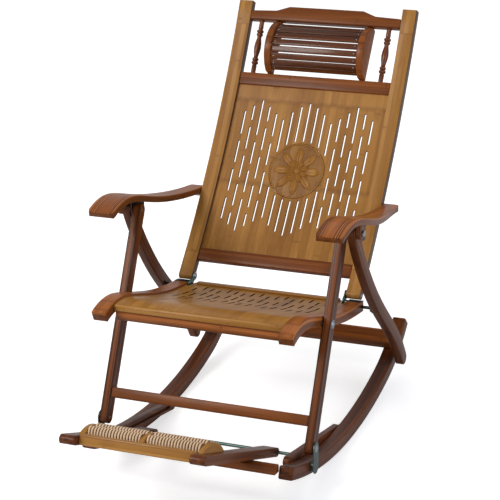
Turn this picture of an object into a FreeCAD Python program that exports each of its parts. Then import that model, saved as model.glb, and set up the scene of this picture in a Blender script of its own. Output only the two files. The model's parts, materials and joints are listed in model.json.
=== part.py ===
"""A folding bamboo rocking chair with a reclined slatted back and a pull-out roller footrest.

The chair is drawn in side view: Y runs from the front to the back, Z runs up, and X is the
width, with the left and the right side alike. Side frames are rockers, straight front legs and
curved rear legs that meet under the armrests. The seat turns on the front legs, the back turns
on the rear end of the seat, and the footrest slides in guides on the rockers.
"""
import FreeCAD
import Part
import math
import os

doc = FreeCAD.newDocument("RockingChair")
sheet = doc.addObject("Spreadsheet::Sheet", "Sizes")

# Driving dimensions, in millimetres and degrees
SIZES = [
    ("rockerRadius", 1100, "underside radius of the rockers"),
    ("tailRadius", 400, "underside radius of their rear ends"),
    ("rockerBend", 20, "where the tighter rear end begins, degrees from the low point"),
    ("rockerDepth", 32, "height of the rocker section"),
    ("rockerWidth", 36, "thickness of a rocker across the chair"),
    ("rockerInner", 236, "inner face of the right rocker from the middle"),
    ("rockerFront", 16.6, "front tip of the rocker, degrees from its low point"),
    ("rockerRear", 48, "rear tip of the rocker, degrees from its low point"),
    ("rockerLowY", 22, "low point of the rocker as drawn"),
    ("rockerLowZ", -14.5, "height of that low point as drawn"),
    ("boardSpot", 35.5, "rear crossbar on the rocker, degrees from its low point"),
    ("boardDeep", 43, "rear crossbar along the rocker"),
    ("boardTall", 28, "rear crossbar square to the rocker"),
    ("frontBarAhead", 128, "front crossbar in front of the foot bolt"),
    ("frontBarDeep", 26, "front crossbar from front to rear"),
    ("frontBarTall", 20, "height of the front crossbar"),
    ("frontBarBelow", 12, "front crossbar's middle below the foot bolt"),
    ("seatGap", 0.4, "running gap between wooden faces"),
    ("restTilt", 7.3, "lean of the empty chair when it stands still, degrees"),
    ("middleY", -23.7, "middle of the chair's length as drawn"),
    ("footPivotY", -167, "bolt of the front leg on the rocker"),
    ("footPivotZ", 67, "height of that bolt"),
    ("topPivotY", 33, "bolt where both legs meet"),
    ("topPivotZ", 545, "height of that bolt"),
    ("legInner", 259, "inner face of the front leg"),
    ("legThick", 20, "front leg across the chair"),
    ("legDepth", 31, "front leg in side view"),
    ("rearLegInner", 285.3, "inner face of the rear leg"),
    ("rearLegThick", 22, "rear leg across the chair"),
    ("rearLegDepth", 34, "rear leg in side view"),
    ("rearFootY", 424, "lower end of the rear leg"),
    ("rearFootZ", 108, "height of that end"),
    ("seatPivotUp", 296, "seat bolt along the front leg from its foot bolt"),
    ("railInner", 219, "inner face of the seat rail"),
    ("railThick", 37.5, "seat rail across the chair"),
    ("railDepth", 26, "seat rail in side view"),
    ("hingeY", 235, "hinge between seat and back"),
    ("hingeZ", 325.5, "height of that hinge"),
    ("stileInner", 212, "inner face of the back stile"),
    ("stileWidth", 38, "back stile across the chair"),
    ("stileDepth", 21, "back stile in side view"),
    ("backLength", 778, "straight length of the back from the hinge"),
    ("backAngle", 58.1, "slope of the back, degrees"),
    ("backSag", 27, "bow of the back behind its straight line"),
    ("bottomRailAt", 44, "lower edge of the bottom rail up the back"),
    ("bottomRailTall", 34, "height of the bottom rail"),
    ("neckRailAt", 546, "lower edge of the neck rail up the back"),
    ("neckRailTall", 34, "height of the neck rail"),
    ("crestAt", 725, "lower edge of the crest rail up the back"),
    ("crestTall", 42, "height of the crest rail in its middle"),
    ("crestShoulder", 26, "height of the crest rail at its ends"),
    ("crestDepth", 24, "thickness of the crest rail"),
    ("panelThick", 6, "thickness of the slotted boards"),
    ("slotWide", 5, "width of a slot"),
    ("slotPitch", 22.4, "spacing of the slots across the back"),
    ("slotTop", 508, "highest end of the back slots, up the back"),
    ("slotFoot", 137, "lowest end of the back slots, up the back"),
    ("slotRow", 81, "rows of bridges between the back slots"),
    ("slotBridge", 18, "wood left between two slots of a column"),
    ("medallionClear", 6, "plain ring around the medallion"),
    ("medallionAt", 318, "middle of the medallion up the back"),
    ("medallionRadius", 77, "radius of the medallion"),
    ("spindleX", 180, "turned spindles from the middle"),
    ("spindleRadius", 9.5, "largest radius of a spindle"),
    ("bolsterHalf", 120, "inner face of the headrest end board"),
    ("bolsterBoard", 18, "thickness of the headrest end board"),
    ("bolsterDeep", 58, "how far the headrest stands out in front"),
    ("slatThick", 6, "thickness of a headrest slat"),
    ("slatWide", 16, "width of a headrest slat"),
    ("armInner", 259, "inner edge of the armrest at the front"),
    ("armOuter", 328, "outer edge of the armrest at the front"),
    ("armThick", 16, "thickness of the armrest"),
    ("armRearInner", 251.5, "inner edge of the armrest beside the back"),
    ("armRearOuter", 292, "outer edge of the armrest at its rear end"),
    ("boltRadius", 4, "radius of the pivot bolts"),
    ("runFit", 0.06, "radial clearance of a turning bore"),
    ("looseFit", 0.5, "radial clearance of an open seat"),
    ("plateThick", 3, "steel plate"),
    ("plateHalf", 16, "half width of the foot plate"),
    ("rodRadius", 4, "radius of the footrest rod"),
    ("rodY", -150, "footrest rod when pulled out"),
    ("rodZ", 36, "height of the footrest rod"),
    ("guideThick", 16, "guide strip across the chair"),
    ("guideTall", 24, "height of the guide strip"),
    ("guideFront", 60, "guide strip in front of the rod"),
    ("guideRear", 26, "guide strip behind the rod when pushed in"),
    ("guideSlope", 6.2, "fall of the guide strip towards the rear, degrees"),
    ("plateGap", 2, "gap between the front leg and the foot plate"),
    ("plateDrop", 46, "foot plate below its bolt"),
    ("slideTravel", 245, "travel of the footrest"),
    ("footAngle", 17.6, "rise of the footrest arms, degrees"),
    ("footArmLong", 443, "footrest arm from the rod to its tip"),
    ("footArmInner", 141, "inner face of the footrest arm"),
    ("footArmThick", 38, "footrest arm across the chair"),
    ("footArmDepth", 22, "footrest arm in side view"),
    ("rollerRadius", 14, "largest radius of a roller"),
    ("rollerPitch", 34, "spacing of the rollers"),
    ("rollerMiddle", 337, "middle roller from the rod"),
    ("rollerRise", 24, "middle roller above the arm's middle line"),
    ("rollerDrop", 5, "outer rollers below the middle one"),
    ("rollerRidges", 12, "ridges on a roller"),
    ("axleRadius", 3, "radius of a roller axle"),
]
for row, (alias, value, note) in enumerate(SIZES, start=1):
    sheet.set("A%d" % row, alias)
    sheet.set("B%d" % row, str(value))
    sheet.set("C%d" % row, note)
    sheet.setAlias("B%d" % row, alias)
doc.recompute()


def size(alias):
    """The value of a cell, as a plain number."""
    return float(getattr(sheet, alias))


def cells(text):
    """An expression in which each alias names its cell."""
    for alias, _, _ in sorted(SIZES, key=lambda entry: -len(entry[0])):
        text = text.replace("$" + alias, "Sizes." + alias)
    return text


def side_start(side, start, length):
    """Where a solid starts along X on the right (side 1) or the left (side -1)."""
    return "(%s)" % start if side > 0 else "-(%s) - (%s)" % (start, length)


# Building blocks
def bind(thing, **fields):
    """Bind properties of an object to sheet expressions."""
    for name, text in fields.items():
        thing.setExpression(name.replace("_", "."), cells(text))
    return thing


def box(name, x, y, z, long, deep, tall):
    """A box from expressions."""
    solid = doc.addObject("Part::Box", name)
    return bind(solid, Length=long, Width=deep, Height=tall,
                Placement_Base_x=x, Placement_Base_y=y, Placement_Base_z=z)


def pin(name, x, length, radius, y, z):
    """A round bar along X."""
    solid = doc.addObject("Part::Cylinder", name)
    solid.Placement = FreeCAD.Placement(FreeCAD.Vector(0, 0, 0), FreeCAD.Rotation(0, 90, 0))
    return bind(solid, Radius=radius, Height=length,
                Placement_Base_x=x, Placement_Base_y=y, Placement_Base_z=z)


def plank(name, outline, x, length):
    """A side-view outline extruded along X."""
    face = doc.addObject("Part::Feature", name + "Outline")
    face.Shape = Part.Face(outline)
    solid = doc.addObject("Part::Extrusion", name)
    solid.Base = face
    solid.Dir = FreeCAD.Vector(1, 0, 0)
    solid.Solid = True
    return bind(solid, LengthFwd=length, Placement_Base_x=x)


def cut(name, base, tools):
    """Take the tools away from the base."""
    result = doc.addObject("Part::Cut", name)
    result.Base = base
    result.Tool = tools[0] if len(tools) == 1 else fuse(name + "Tools", tools)
    return result


def fuse(name, pieces):
    """Join pieces into one solid."""
    result = doc.addObject("Part::MultiFuse", name)
    result.Shapes = pieces
    result.Refine = True
    return result


def at(y, z):
    """A point of the side view."""
    return FreeCAD.Vector(0, y, z)


def arc(first, middle, last):
    """An arc through three points."""
    return Part.Arc(first, middle, last).toShape()


def line(first, last):
    """A straight edge."""
    return Part.LineSegment(first, last).toShape()


def spline(points):
    """A smooth curve through points."""
    curve = Part.BSplineCurve()
    curve.interpolate(points)
    return curve


def ribbon(points, half, round_start=True, round_end=True):
    """A band of even width along a smooth curve, with round or square ends."""
    curve = spline(points)
    left = []
    right = []
    ends = []
    for point in points:
        heading = curve.tangent(curve.parameter(point))[0]
        across = FreeCAD.Vector(0, -heading.z, heading.y)
        left.append(point + across * half)
        right.append(point - across * half)
        ends.append(heading * half)
    start_tip = points[0] - ends[0]
    end_tip = points[-1] + ends[-1]
    far = arc(left[-1], end_tip, right[-1]) if round_end else line(left[-1], right[-1])
    near = arc(right[0], start_tip, left[0]) if round_start else line(right[0], left[0])
    return Part.Wire([spline(left).toShape(), far, spline(list(reversed(right))).toShape(), near])


def bar(first, last, half):
    """A straight band with round ends."""
    heading = (last - first).normalize()
    across = FreeCAD.Vector(0, -heading.z, heading.y) * half
    tip = heading * half
    return Part.Wire([line(first + across, last + across),
                      arc(last + across, last + tip, last - across),
                      line(last - across, first - across),
                      arc(first - across, first - tip, first + across)])


def loop(points):
    """A closed outline with straight sides."""
    return Part.makePolygon(points + [points[0]])


def turned(name, profile, sides=12):
    """A turned bar along Z, drawn with flat sides, from places along it and their radii."""
    rings = []
    for number, (along, radius) in enumerate(profile):
        ring = doc.addObject("Part::Feature", "%sRing%d" % (name, number))
        turns = [math.radians(360 / sides * corner) for corner in range(sides)]
        ring.Shape = loop([FreeCAD.Vector(radius * math.cos(turn), radius * math.sin(turn), along) for turn in turns])
        rings.append(ring)
    solid = doc.addObject("Part::Loft", name)
    solid.Sections = rings
    solid.Solid = True
    solid.Ruled = True
    return solid


nodes = []
ROCKER_CENTRE = at(size("rockerLowY"), size("rockerLowZ") + size("rockerRadius"))
rest = FreeCAD.Placement(at(-size("middleY"), -size("rockerLowZ")), FreeCAD.Rotation()).multiply(
    FreeCAD.Placement(FreeCAD.Vector(), FreeCAD.Rotation(FreeCAD.Vector(1, 0, 0), -size("restTilt")),
                      ROCKER_CENTRE))


def keep(label, pieces, frame=None):
    """Gather the solids of a sub-part under its name, where the standing chair has it."""
    node = doc.addObject("Part::Compound", label)
    node.Label = label
    node.Links = pieces if isinstance(pieces, list) else [pieces]
    node.Placement = rest.multiply(frame) if frame else rest
    nodes.append(node)


SIDES = [(-1, "left"), (1, "right")]
FOOT = at(size("footPivotY"), size("footPivotZ"))
TOP = at(size("topPivotY"), size("topPivotZ"))
LEG_DIRECTION = (TOP - FOOT).normalize()
SEAT_BOLT = FOOT + LEG_DIRECTION * size("seatPivotUp")
HINGE = at(size("hingeY"), size("hingeZ"))


# Base: rockers, crossbars, foot plates and footrest guides
def out(degrees):
    """The direction from the rocker's centre, by its angle from straight down."""
    turn = math.radians(degrees)
    return at(math.sin(turn), -math.cos(turn))


def rocker_point(degrees, height):
    """A point on the rocker, by its angle from the low point and its height above the underside."""
    bend = size("rockerBend")
    if degrees <= bend:
        return ROCKER_CENTRE + out(degrees) * (size("rockerRadius") - height)
    tail = ROCKER_CENTRE + out(bend) * (size("rockerRadius") - size("tailRadius"))
    return tail + out(degrees) * (size("tailRadius") - height)


def rocker_edge(first, last, height):
    """One edge of the rocker as an arc between two angles."""
    return arc(rocker_point(first, height), rocker_point((first + last) / 2, height), rocker_point(last, height))


def rocker_outline():
    """A long arc and a tighter rear end, with an even depth and square tips."""
    front = -size("rockerFront")
    bend = size("rockerBend")
    rear = size("rockerRear")
    deep = size("rockerDepth")
    return Part.Wire([rocker_edge(front, bend, 0), rocker_edge(bend + 1e-9, rear, 0),
                      line(rocker_point(rear, 0), rocker_point(rear, deep)),
                      rocker_edge(rear, bend + 1e-9, deep), rocker_edge(bend, front, deep),
                      line(rocker_point(front, deep), rocker_point(front, 0))])


def make_rockers():
    """The two curved runners."""
    for side, word in SIDES:
        solid = plank("Rocker" + word, rocker_outline(),
                      side_start(side, "$rockerInner", "$rockerWidth"), "$rockerWidth")
        keep("rocker_" + word, solid)


def make_crossbars():
    """The bar between the rocker tips and the board across their rear."""
    front = box("FrontBar", "-$rockerInner", "$footPivotY - $frontBarAhead - $frontBarDeep / 2",
                "$footPivotZ - $frontBarBelow - $frontBarTall / 2",
                "2 * $rockerInner", "$frontBarDeep", "$frontBarTall")
    keep("base_front_crossbar", front)
    up = -out(size("boardSpot"))
    along = FreeCAD.Vector(0, up.z, -up.y) * (size("boardDeep") / 2)
    low = rocker_point(size("boardSpot"), size("rockerDepth")) + up * bulge(size("boardDeep") / 2)
    high = low + up * size("boardTall")
    board = plank("RearBoard", loop([low - along, low + along, high + along, high - along]),
                  "-$rockerInner - $rockerWidth", "2 * ($rockerInner + $rockerWidth)")
    keep("base_rear_crossbar", board)


def bulge(half):
    """How much a flat board of this half width stands off the hollow top of the rocker's rear end."""
    radius = size("tailRadius") - size("rockerDepth")
    return radius - math.sqrt(radius ** 2 - half ** 2) + size("seatGap") / 4


def make_foot_plates():
    """Steel plates with a packing block on the rockers' outer faces, and the front legs' bolts."""
    plates = []
    bolts = []
    start = "$legInner + $legThick + $plateGap"
    block = "$legInner + $legThick + $plateGap - $rockerInner - $rockerWidth"
    for side, word in SIDES:
        low = FOOT - at(0, size("plateDrop"))
        plate = plank("FootPlateBar" + word, bar(FOOT, low, size("plateHalf")),
                      side_start(side, start, "$plateThick"), "$plateThick")
        packing = plank("FootPacking" + word, bar(low, low + at(0, 1), size("plateHalf") - 5),
                        side_start(side, "$rockerInner + $rockerWidth", block), block)
        plates.append(fuse("FootPlate" + word, [plate, packing]))
        reach = "$legThick + $plateGap"
        bolts.append(pin("FootBolt" + word, side_start(side, "$legInner", reach), reach,
                         "$boltRadius", "$footPivotY", "$footPivotZ"))
    keep("foot_plates", plates)
    keep("foot_bolts", bolts)


ROD = at(size("rodY"), size("rodZ"))
SLIDE = out(90 - size("guideSlope"))


def make_guides():
    """Strips on the rockers' inner faces, each with a slot for the footrest rod."""
    for side, word in SIDES:
        front = ROD - SLIDE * size("guideFront")
        home = ROD + SLIDE * size("slideTravel")
        rear = home + SLIDE * size("guideRear")
        start = side_start(side, "$rockerInner - $guideThick", "$guideThick")
        strip = plank("GuideStrip" + word, bar(front, rear, size("guideTall") / 2), start, "$guideThick")
        groove = bar(ROD, home, size("rodRadius") + size("looseFit"))
        into = side_start(side, "$rockerInner - $guideThick - 1", "$guideThick / 2 + 1")
        slot = plank("GuideSlot" + word, groove, into, "$guideThick / 2 + 1")
        keep("footrest_guide_" + word, cut("Guide" + word, strip, [slot]))


# Front legs
def make_front_legs():
    """Straight legs with round ends and their bolt holes."""
    for side, word in SIDES:
        start = side_start(side, "$legInner", "$legThick")
        solid = plank("FrontLegBar" + word, bar(FOOT, TOP, size("legDepth") / 2), start, "$legThick")
        hole = pin("FrontLegHole" + word, start, "$legThick", "$boltRadius + $runFit",
                   "$footPivotY", "$footPivotZ")
        seat_hole = pin("SeatBoltHole" + word, start, "$legThick", "$boltRadius",
                        str(SEAT_BOLT.y), str(SEAT_BOLT.z))
        top_hole = pin("TopBoltHole" + word, start, "$legThick", "$boltRadius", "$topPivotY", "$topPivotZ")
        keep("front_leg_" + word, cut("FrontLeg" + word, solid, [hole, seat_hole, top_hole]))


def make_stretcher():
    """The bar between the front legs, in line with them."""
    middle = FOOT + LEG_DIRECTION * 62
    across = FreeCAD.Vector(0, -LEG_DIRECTION.z, LEG_DIRECTION.y)
    low = middle + across * 3
    outline = loop([low + across * 11 - LEG_DIRECTION * 13, low + across * 11 + LEG_DIRECTION * 13,
                    low - across * 9 + LEG_DIRECTION * 13, low - across * 9 - LEG_DIRECTION * 13])
    keep("front_stretcher", plank("Stretcher", outline, "-$legInner", "2 * $legInner"))


def make_leg_bolts():
    """Bolts that carry the seat, and bolts that join both legs and the armrest."""
    seat_bolts = []
    top_bolts = []
    for side, word in SIDES:
        reach = "$legInner + $legThick - $railInner - 8"
        seat_bolts.append(pin("SeatBolt" + word, side_start(side, "$railInner + 8", reach), reach,
                              "$boltRadius", str(SEAT_BOLT.y), str(SEAT_BOLT.z)))
        reach = "$rearLegInner + $rearLegThick + 14 - $legInner"
        shank = pin("TopShank" + word, side_start(side, "$legInner", reach), reach,
                    "$boltRadius", "$topPivotY", "$topPivotZ")
        far = "$rearLegInner + $rearLegThick + 14"
        head = pin("TopHead" + word, side_start(side, far, "4"), "4", "$boltRadius + 4",
                   "$topPivotY", "$topPivotZ")
        top_bolts.append(fuse("TopBolt" + word, [shank, head]))
    keep("seat_bolts", seat_bolts)
    keep("top_bolts", top_bolts)


# Rear legs
def rear_leg_outline():
    """A leg that bows forward under the armrest and straightens towards the rocker."""
    foot = at(size("rearFootY"), size("rearFootZ"))
    run = foot - TOP
    across = FreeCAD.Vector(0, run.z, -run.y).normalize()
    bends = [(0.27, 22), (0.52, 18), (0.78, -2)]
    points = [TOP] + [TOP + run * share + across * bow for share, bow in bends] + [foot]
    return ribbon(points, size("rearLegDepth") / 2)


def make_rear_legs():
    """Curved legs, and the hooked plates that the seat's rear pins rest in."""
    hooks = []
    for side, word in SIDES:
        start = side_start(side, "$rearLegInner", "$rearLegThick")
        solid = plank("RearLegBow" + word, rear_leg_outline(), start, "$rearLegThick")
        hole = pin("RearLegHole" + word, start, "$rearLegThick", "$boltRadius + $runFit",
                   "$topPivotY", "$topPivotZ")
        keep("rear_leg_" + word, cut("RearLeg" + word, solid, [hole]))
        hooks.append(make_hook(side, word))
    keep("seat_hooks", hooks)


def make_hook(side, word):
    """A steel plate on the rear leg's inner face, open towards the rear and up."""
    lift = math.radians(61)
    way = at(math.cos(lift), math.sin(lift))
    beside = FreeCAD.Vector(0, -way.z, way.y)
    half = size("boltRadius") + size("looseFit")
    root = SEAT_PIN - way * (half + 6)
    outline = loop([root + beside * 13, SEAT_PIN + beside * 13 + way * 4,
                    SEAT_PIN - beside * 30 + way * 4, root - beside * 30])
    start = side_start(side, "$rearLegInner - $plateThick", "$plateThick")
    plate = plank("HookPlate" + word, outline, start, "$plateThick")
    notch = plank("HookNotch" + word, bar(SEAT_PIN, SEAT_PIN + way * 20, half), start, "$plateThick")
    return cut("Hook" + word, plate, [notch])


# Seat: the side line as shares of the way from the seat bolt to the hinge, with its height above it
SEAT_WAVE = [(-0.685, 3), (-0.529, 19.1), (-0.372, 23.3), (-0.164, 14.4), (0.183, -6.4), (0.531, -21.4),
             (0.809, -25.3), (0.993, -25.4)]
SEAT_PIN = HINGE - at(14, 24.5)


def seat_points(lift, first=0):
    """Points along the seat's side line, raised above it."""
    return [SEAT_BOLT + (HINGE - SEAT_BOLT) * share + at(0, high + lift) for share, high in SEAT_WAVE[first:]]


def make_seat_rails():
    """Waved side rails with the seat bolt's bore."""
    for side, word in SIDES:
        start = side_start(side, "$railInner", "$railThick")
        outline = ribbon(seat_points(0), size("railDepth") / 2, False, False)
        solid = plank("SeatRailBar" + word, outline, start, "$railThick")
        hole = pin("SeatRailHole" + word, start, "$railThick", "$boltRadius + $runFit",
                   str(SEAT_BOLT.y), str(SEAT_BOLT.z))
        seat = pin("SeatPinHole" + word, start, "$railThick", "$boltRadius", str(SEAT_PIN.y), str(SEAT_PIN.z))
        keep("seat_rail_" + word, cut("SeatRail" + word, solid, [hole, seat]))


def make_seat_pins():
    """Pins from the rails' rear ends into the hooked plates."""
    pins = []
    reach = "$rearLegInner - 0.5 - $railInner"
    for side, word in SIDES:
        pins.append(pin("SeatPin" + word, side_start(side, "$railInner", reach), reach,
                        "$boltRadius", str(SEAT_PIN.y), str(SEAT_PIN.z)))
    keep("seat_pins", pins)


def make_seat_boards():
    """The slotted seat board and the rails under its front and rear edges."""
    panel = plank("SeatBoard", ribbon(seat_points(5, 1), size("panelThick") / 2, False, False),
                  "-$railInner", "2 * $railInner")
    slots = []
    for column in range(-8, 9):
        for row, (first, last) in enumerate([(20, 75), (90, 145), (160, 205)]):
            shift = 10 * (abs(column + row) % 3)
            slot = box("SeatSlot%d_%d" % (column + 8, row), "%g * $slotPitch - $slotWide / 2" % column,
                       str(first + shift - 10), str(250), "$slotWide", str(last - first - 10), "120")
            slots.append(slot)
    for side, word in SIDES:
        room = "$railInner - $stileInner + $plateThick + 1"
        slots.append(box("HingeRoom" + word, side_start(side, "$railInner - (%s)" % room, room),
                         "$hingeY - 36", "250", room, "60", "120"))
    keep("seat_panel", cut("SeatPanel", panel, slots))
    front = box("SeatFront", "-$railInner", "-205", "334", "2 * $railInner", "22", "26")
    keep("seat_front_rail", front)
    rear = box("SeatRear", "-$railInner", "205", "276", "2 * $railInner", "22", "22")
    keep("seat_rear_rail", rear)


def make_hinge_brackets():
    """Steel plates on the seat's inner side that hold the back's hinge pins."""
    brackets = []
    for side, word in SIDES:
        start = side_start(side, "$stileInner - $plateThick - 0.5", "$plateThick")
        outline = bar(HINGE, HINGE - at(20, 12), 9)
        plate = plank("HingePlate" + word, outline, start, "$plateThick")
        reach = "$railInner - $stileInner + 0.5"
        foot = plank("HingeFoot" + word, bar(HINGE - at(20, 15), HINGE - at(18, 14.5), 5),
                     side_start(side, "$stileInner - 0.5", reach), reach)
        whole = fuse("HingeBody" + word, [plate, foot])
        hole = pin("HingeHole" + word, start, "$plateThick", "$boltRadius + $runFit", "$hingeY", "$hingeZ")
        brackets.append(cut("HingeBracket" + word, whole, [hole]))
    keep("hinge_brackets", brackets)


# Back, drawn upright from the hinge: Z runs up the back and Y runs behind it
back_frame = FreeCAD.Placement(HINGE, FreeCAD.Rotation(FreeCAD.Vector(1, 0, 0), size("backAngle") - 90))
BACK_RADIUS = size("backLength") ** 2 / 8 / size("backSag") + size("backSag") / 2
BACK_CENTRE = at(size("backSag") - BACK_RADIUS, size("backLength") / 2)


def back_point(up, behind):
    """A point at a height up the back, behind its curved middle line."""
    rise = up - BACK_CENTRE.z
    turn = math.asin(rise / BACK_RADIUS)
    reach = BACK_RADIUS + behind
    return at(BACK_CENTRE.y + reach * math.cos(turn), BACK_CENTRE.z + reach * math.sin(turn))


def back_strip(low, high, front, rear):
    """A curved strip of the back between two heights."""
    middle = (low + high) / 2
    return Part.Wire([arc(back_point(low, front), back_point(middle, front), back_point(high, front)),
                      line(back_point(high, front), back_point(high, rear)),
                      arc(back_point(high, rear), back_point(middle, rear), back_point(low, rear)),
                      line(back_point(low, rear), back_point(low, front))])


def make_stiles():
    """Curved uprights of the back, with the hinge pins and the armrest pins."""
    half = size("stileDepth") / 2
    hinge_pins = []
    arm_pins = []
    for side, word in SIDES:
        start = side_start(side, "$stileInner", "$stileWidth")
        outer = [arc(back_point(0, -half), back_point(size("backLength") / 2, -half), back_point(size("backLength"), -half)),
                 line(back_point(size("backLength"), -half), back_point(size("backLength"), half)),
                 arc(back_point(size("backLength"), half), back_point(size("backLength") / 2, half), back_point(0, half)),
                 arc(back_point(0, half), at(0, -half), back_point(0, -half))]
        solid = plank("StileBar" + word, Part.Wire(outer), start, "$stileWidth")
        hole = pin("StileHole" + word, start, "$stileWidth", "$boltRadius", "0", "0")
        spot = back_point(arm_pin_up(), 0)
        arm_hole = pin("ArmPinHole" + word, start, "$stileWidth", "$boltRadius", str(spot.y), str(spot.z))
        keep("back_stile_" + word, cut("Stile" + word, solid, [hole, arm_hole]), back_frame)
        reach = "$stileWidth + 8"
        hinge_pins.append(pin("HingePin" + word, side_start(side, "$stileInner - 8", reach), reach,
                              "$boltRadius", "0", "0"))
        reach = "$stileWidth + 26"
        arm_pins.append(pin("ArmPin" + word, side_start(side, "$stileInner", reach), reach,
                            "$boltRadius", str(spot.y), str(spot.z)))
    keep("hinge_pins", hinge_pins, back_frame)
    keep("arm_pins", arm_pins, back_frame)


def make_back_rails():
    """The bottom rail and the neck rail between the stiles."""
    half = size("stileDepth") / 2
    for label, low, tall in [("bottom_rail", "bottomRailAt", "bottomRailTall"),
                             ("neck_rail", "neckRailAt", "neckRailTall")]:
        outline = back_strip(size(low), size(low) + size(tall), 2 - half, half - 1)
        bar_between = plank(label + "_bar", outline, "-$stileInner", "2 * $stileInner")
        keep(label, bar_between, back_frame)


def make_crest():
    """The crest rail: a straight lower edge and a raised middle with sloping shoulders."""
    low = size("crestAt")
    half = size("stileInner")
    tall = size("crestTall")
    ends = size("crestShoulder")
    outline = Part.makePolygon([FreeCAD.Vector(x, 0, z) for x, z in
                                [(-half, low), (half, low), (half, low + ends), (140, low + ends + 3),
                                 (104, low + tall), (-104, low + tall), (-140, low + ends + 3),
                                 (-half, low + ends), (-half, low)]])
    face = doc.addObject("Part::Feature", "CrestOutline")
    face.Shape = Part.Face(outline)
    solid = doc.addObject("Part::Extrusion", "Crest")
    solid.Base = face
    solid.Dir = FreeCAD.Vector(0, 1, 0)
    solid.Solid = True
    bind(solid, LengthFwd="$crestDepth")
    spot = back_point(low + tall / 2, -size("crestDepth") / 2)
    solid.Placement = FreeCAD.Placement(at(spot.y, 0), FreeCAD.Rotation())
    keep("crest_rail", solid, back_frame)


# How far each column of slots falls short of the longest one, outwards from the middle
SLOT_DIP = (0, 10, 27, 50, 35, 17, 0, 17, 34)


def slot_runs(column):
    """Where one column of the back is open: a zig-zag border, bridges in rows and a plain ring."""
    dip = SLOT_DIP[abs(column)]
    low = size("slotFoot") + 0.87 * dip
    high = size("slotTop") - dip
    middle = size("medallionAt")
    half = size("slotBridge") / 2
    aside = abs(column) * size("slotPitch")
    ring = size("medallionRadius") + size("medallionClear")
    if aside < ring:
        reach = math.sqrt(ring ** 2 - aside ** 2)
        return [(low, middle - reach), (middle + reach, high)]
    row = size("slotRow")
    shift = row / 2 if column % 2 else 0
    runs = []
    begin = low
    spot = middle + shift - 3 * row
    while spot < high:
        if low + row / 2 < spot < high - row / 2:
            runs.append((begin, spot - half))
            begin = spot + half
        spot += row
    runs.append((begin, high))
    return runs


def make_back_panel():
    """The curved slotted board with a round hole, and the medallion that fills it."""
    low = size("bottomRailAt") + size("bottomRailTall")
    high = size("neckRailAt")
    half = size("panelThick") / 2
    board = plank("BackBoard", back_strip(low, high, -half, half), "-$stileInner", "2 * $stileInner")
    slots = []
    middle = size("medallionAt")
    for column in range(-8, 9):
        for row, (begin, end) in enumerate(slot_runs(column)):
            slots.append(box("BackSlot%d_%d" % (column + 8, row), "%g * $slotPitch - $slotWide / 2" % column,
                             "-60", "%g" % begin, "$slotWide", "140", "%g" % (end - begin)))
    hole = doc.addObject("Part::Cylinder", "MedallionHole")
    spot = back_point(middle, 0)
    lay = FreeCAD.Rotation(FreeCAD.Vector(1, 0, 0), 90)
    hole.Placement = FreeCAD.Placement(spot + at(40, 0), lay)
    bind(hole, Radius="$medallionRadius", Height="80")
    keep("back_panel", cut("BackPanel", board, slots + [hole]), back_frame)
    disc = doc.addObject("Part::Cylinder", "Medallion")
    disc.Placement = FreeCAD.Placement(spot + at(half, 0), lay)
    bind(disc, Radius="$medallionRadius - 0.2", Height="$panelThick + 2")
    keep("medallion", disc, back_frame)


def make_spindles():
    """Turned spindles between the neck rail and the crest rail."""
    low = size("neckRailAt") + size("neckRailTall")
    high = size("crestAt")
    run = high - low - 1.2
    top = size("spindleRadius")
    shape = [(0, 6.5), (0.18, 6.5), (0.2, top), (0.23, 6), (0.26, top), (0.3, 6), (0.5, top),
             (0.7, 6), (0.74, top), (0.77, 6), (0.8, top), (0.83, 6.5), (1, 6.5)]
    solids = []
    base = back_point(low, 0)
    tip = back_point(high, 0)
    lean = FreeCAD.Rotation(FreeCAD.Vector(0, 0, 1), tip - base)
    for side, word in SIDES:
        post = turned("Spindle" + word, [(share * run, radius) for share, radius in shape])
        post.Placement = FreeCAD.Placement(base + FreeCAD.Vector(side * size("spindleX"), 0, 0.6), lean)
        solids.append(post)
    keep("spindles", solids, back_frame)


def bolster_point(share, drop):
    """A point on the headrest's bowed front, by its share of the way up."""
    low = size("neckRailAt") + size("neckRailTall")
    high = size("crestAt")
    turn = math.pi * share
    middle = (low + high) / 2
    rise = (high - low) / 2 - drop
    deep = size("bolsterDeep") - drop
    start = back_point(middle, 0).y
    return at(start - deep * math.sin(turn), middle - rise * math.cos(turn))


def make_headrest():
    """Bowed end boards and the slats between them."""
    low = size("neckRailAt") + size("neckRailTall") + 1
    high = size("crestAt") - 0.3
    spot = back_point((low + high) / 2, 0).y
    back = spot + 8
    outline = Part.Wire([line(at(back, low), at(back, high)), line(at(back, high), at(spot - 12, high)),
                         arc(at(spot - 12, high), bolster_point(0.5, -2), at(spot - 12, low)),
                         line(at(spot - 12, low), at(back, low))])
    for side, word in SIDES:
        start = side_start(side, "$bolsterHalf", "$bolsterBoard")
        keep("headrest_end_" + word, plank("HeadEnd" + word, outline, start, "$bolsterBoard"), back_frame)
    slats = []
    count = 9
    thick = size("slatThick")
    wide = size("slatWide")
    for number in range(count):
        share = 0.12 + 0.76 * number / (count - 1)
        here = bolster_point(share, 5)
        ahead = bolster_point(share + 0.01, 5)
        way = (ahead - here).normalize()
        inward = FreeCAD.Vector(0, way.z, -way.y)
        outline = loop([here - way * wide / 2, here + way * wide / 2,
                        here + way * wide / 2 + inward * thick, here - way * wide / 2 + inward * thick])
        slats.append(plank("Slat%d" % number, outline, "-$bolsterHalf", "2 * $bolsterHalf"))
    keep("headrest_slats", slats, back_frame)


# Armrests
ARM_WAVE = [(-158, 22), (-125, 34), (-83, 41), (-33, 37), (37, 20), (117, 1), (217, -15), (307, -23), (365, -26)]
ARM_LINE = [(TOP.y + along, TOP.z + high) for along, high in ARM_WAVE]


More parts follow.
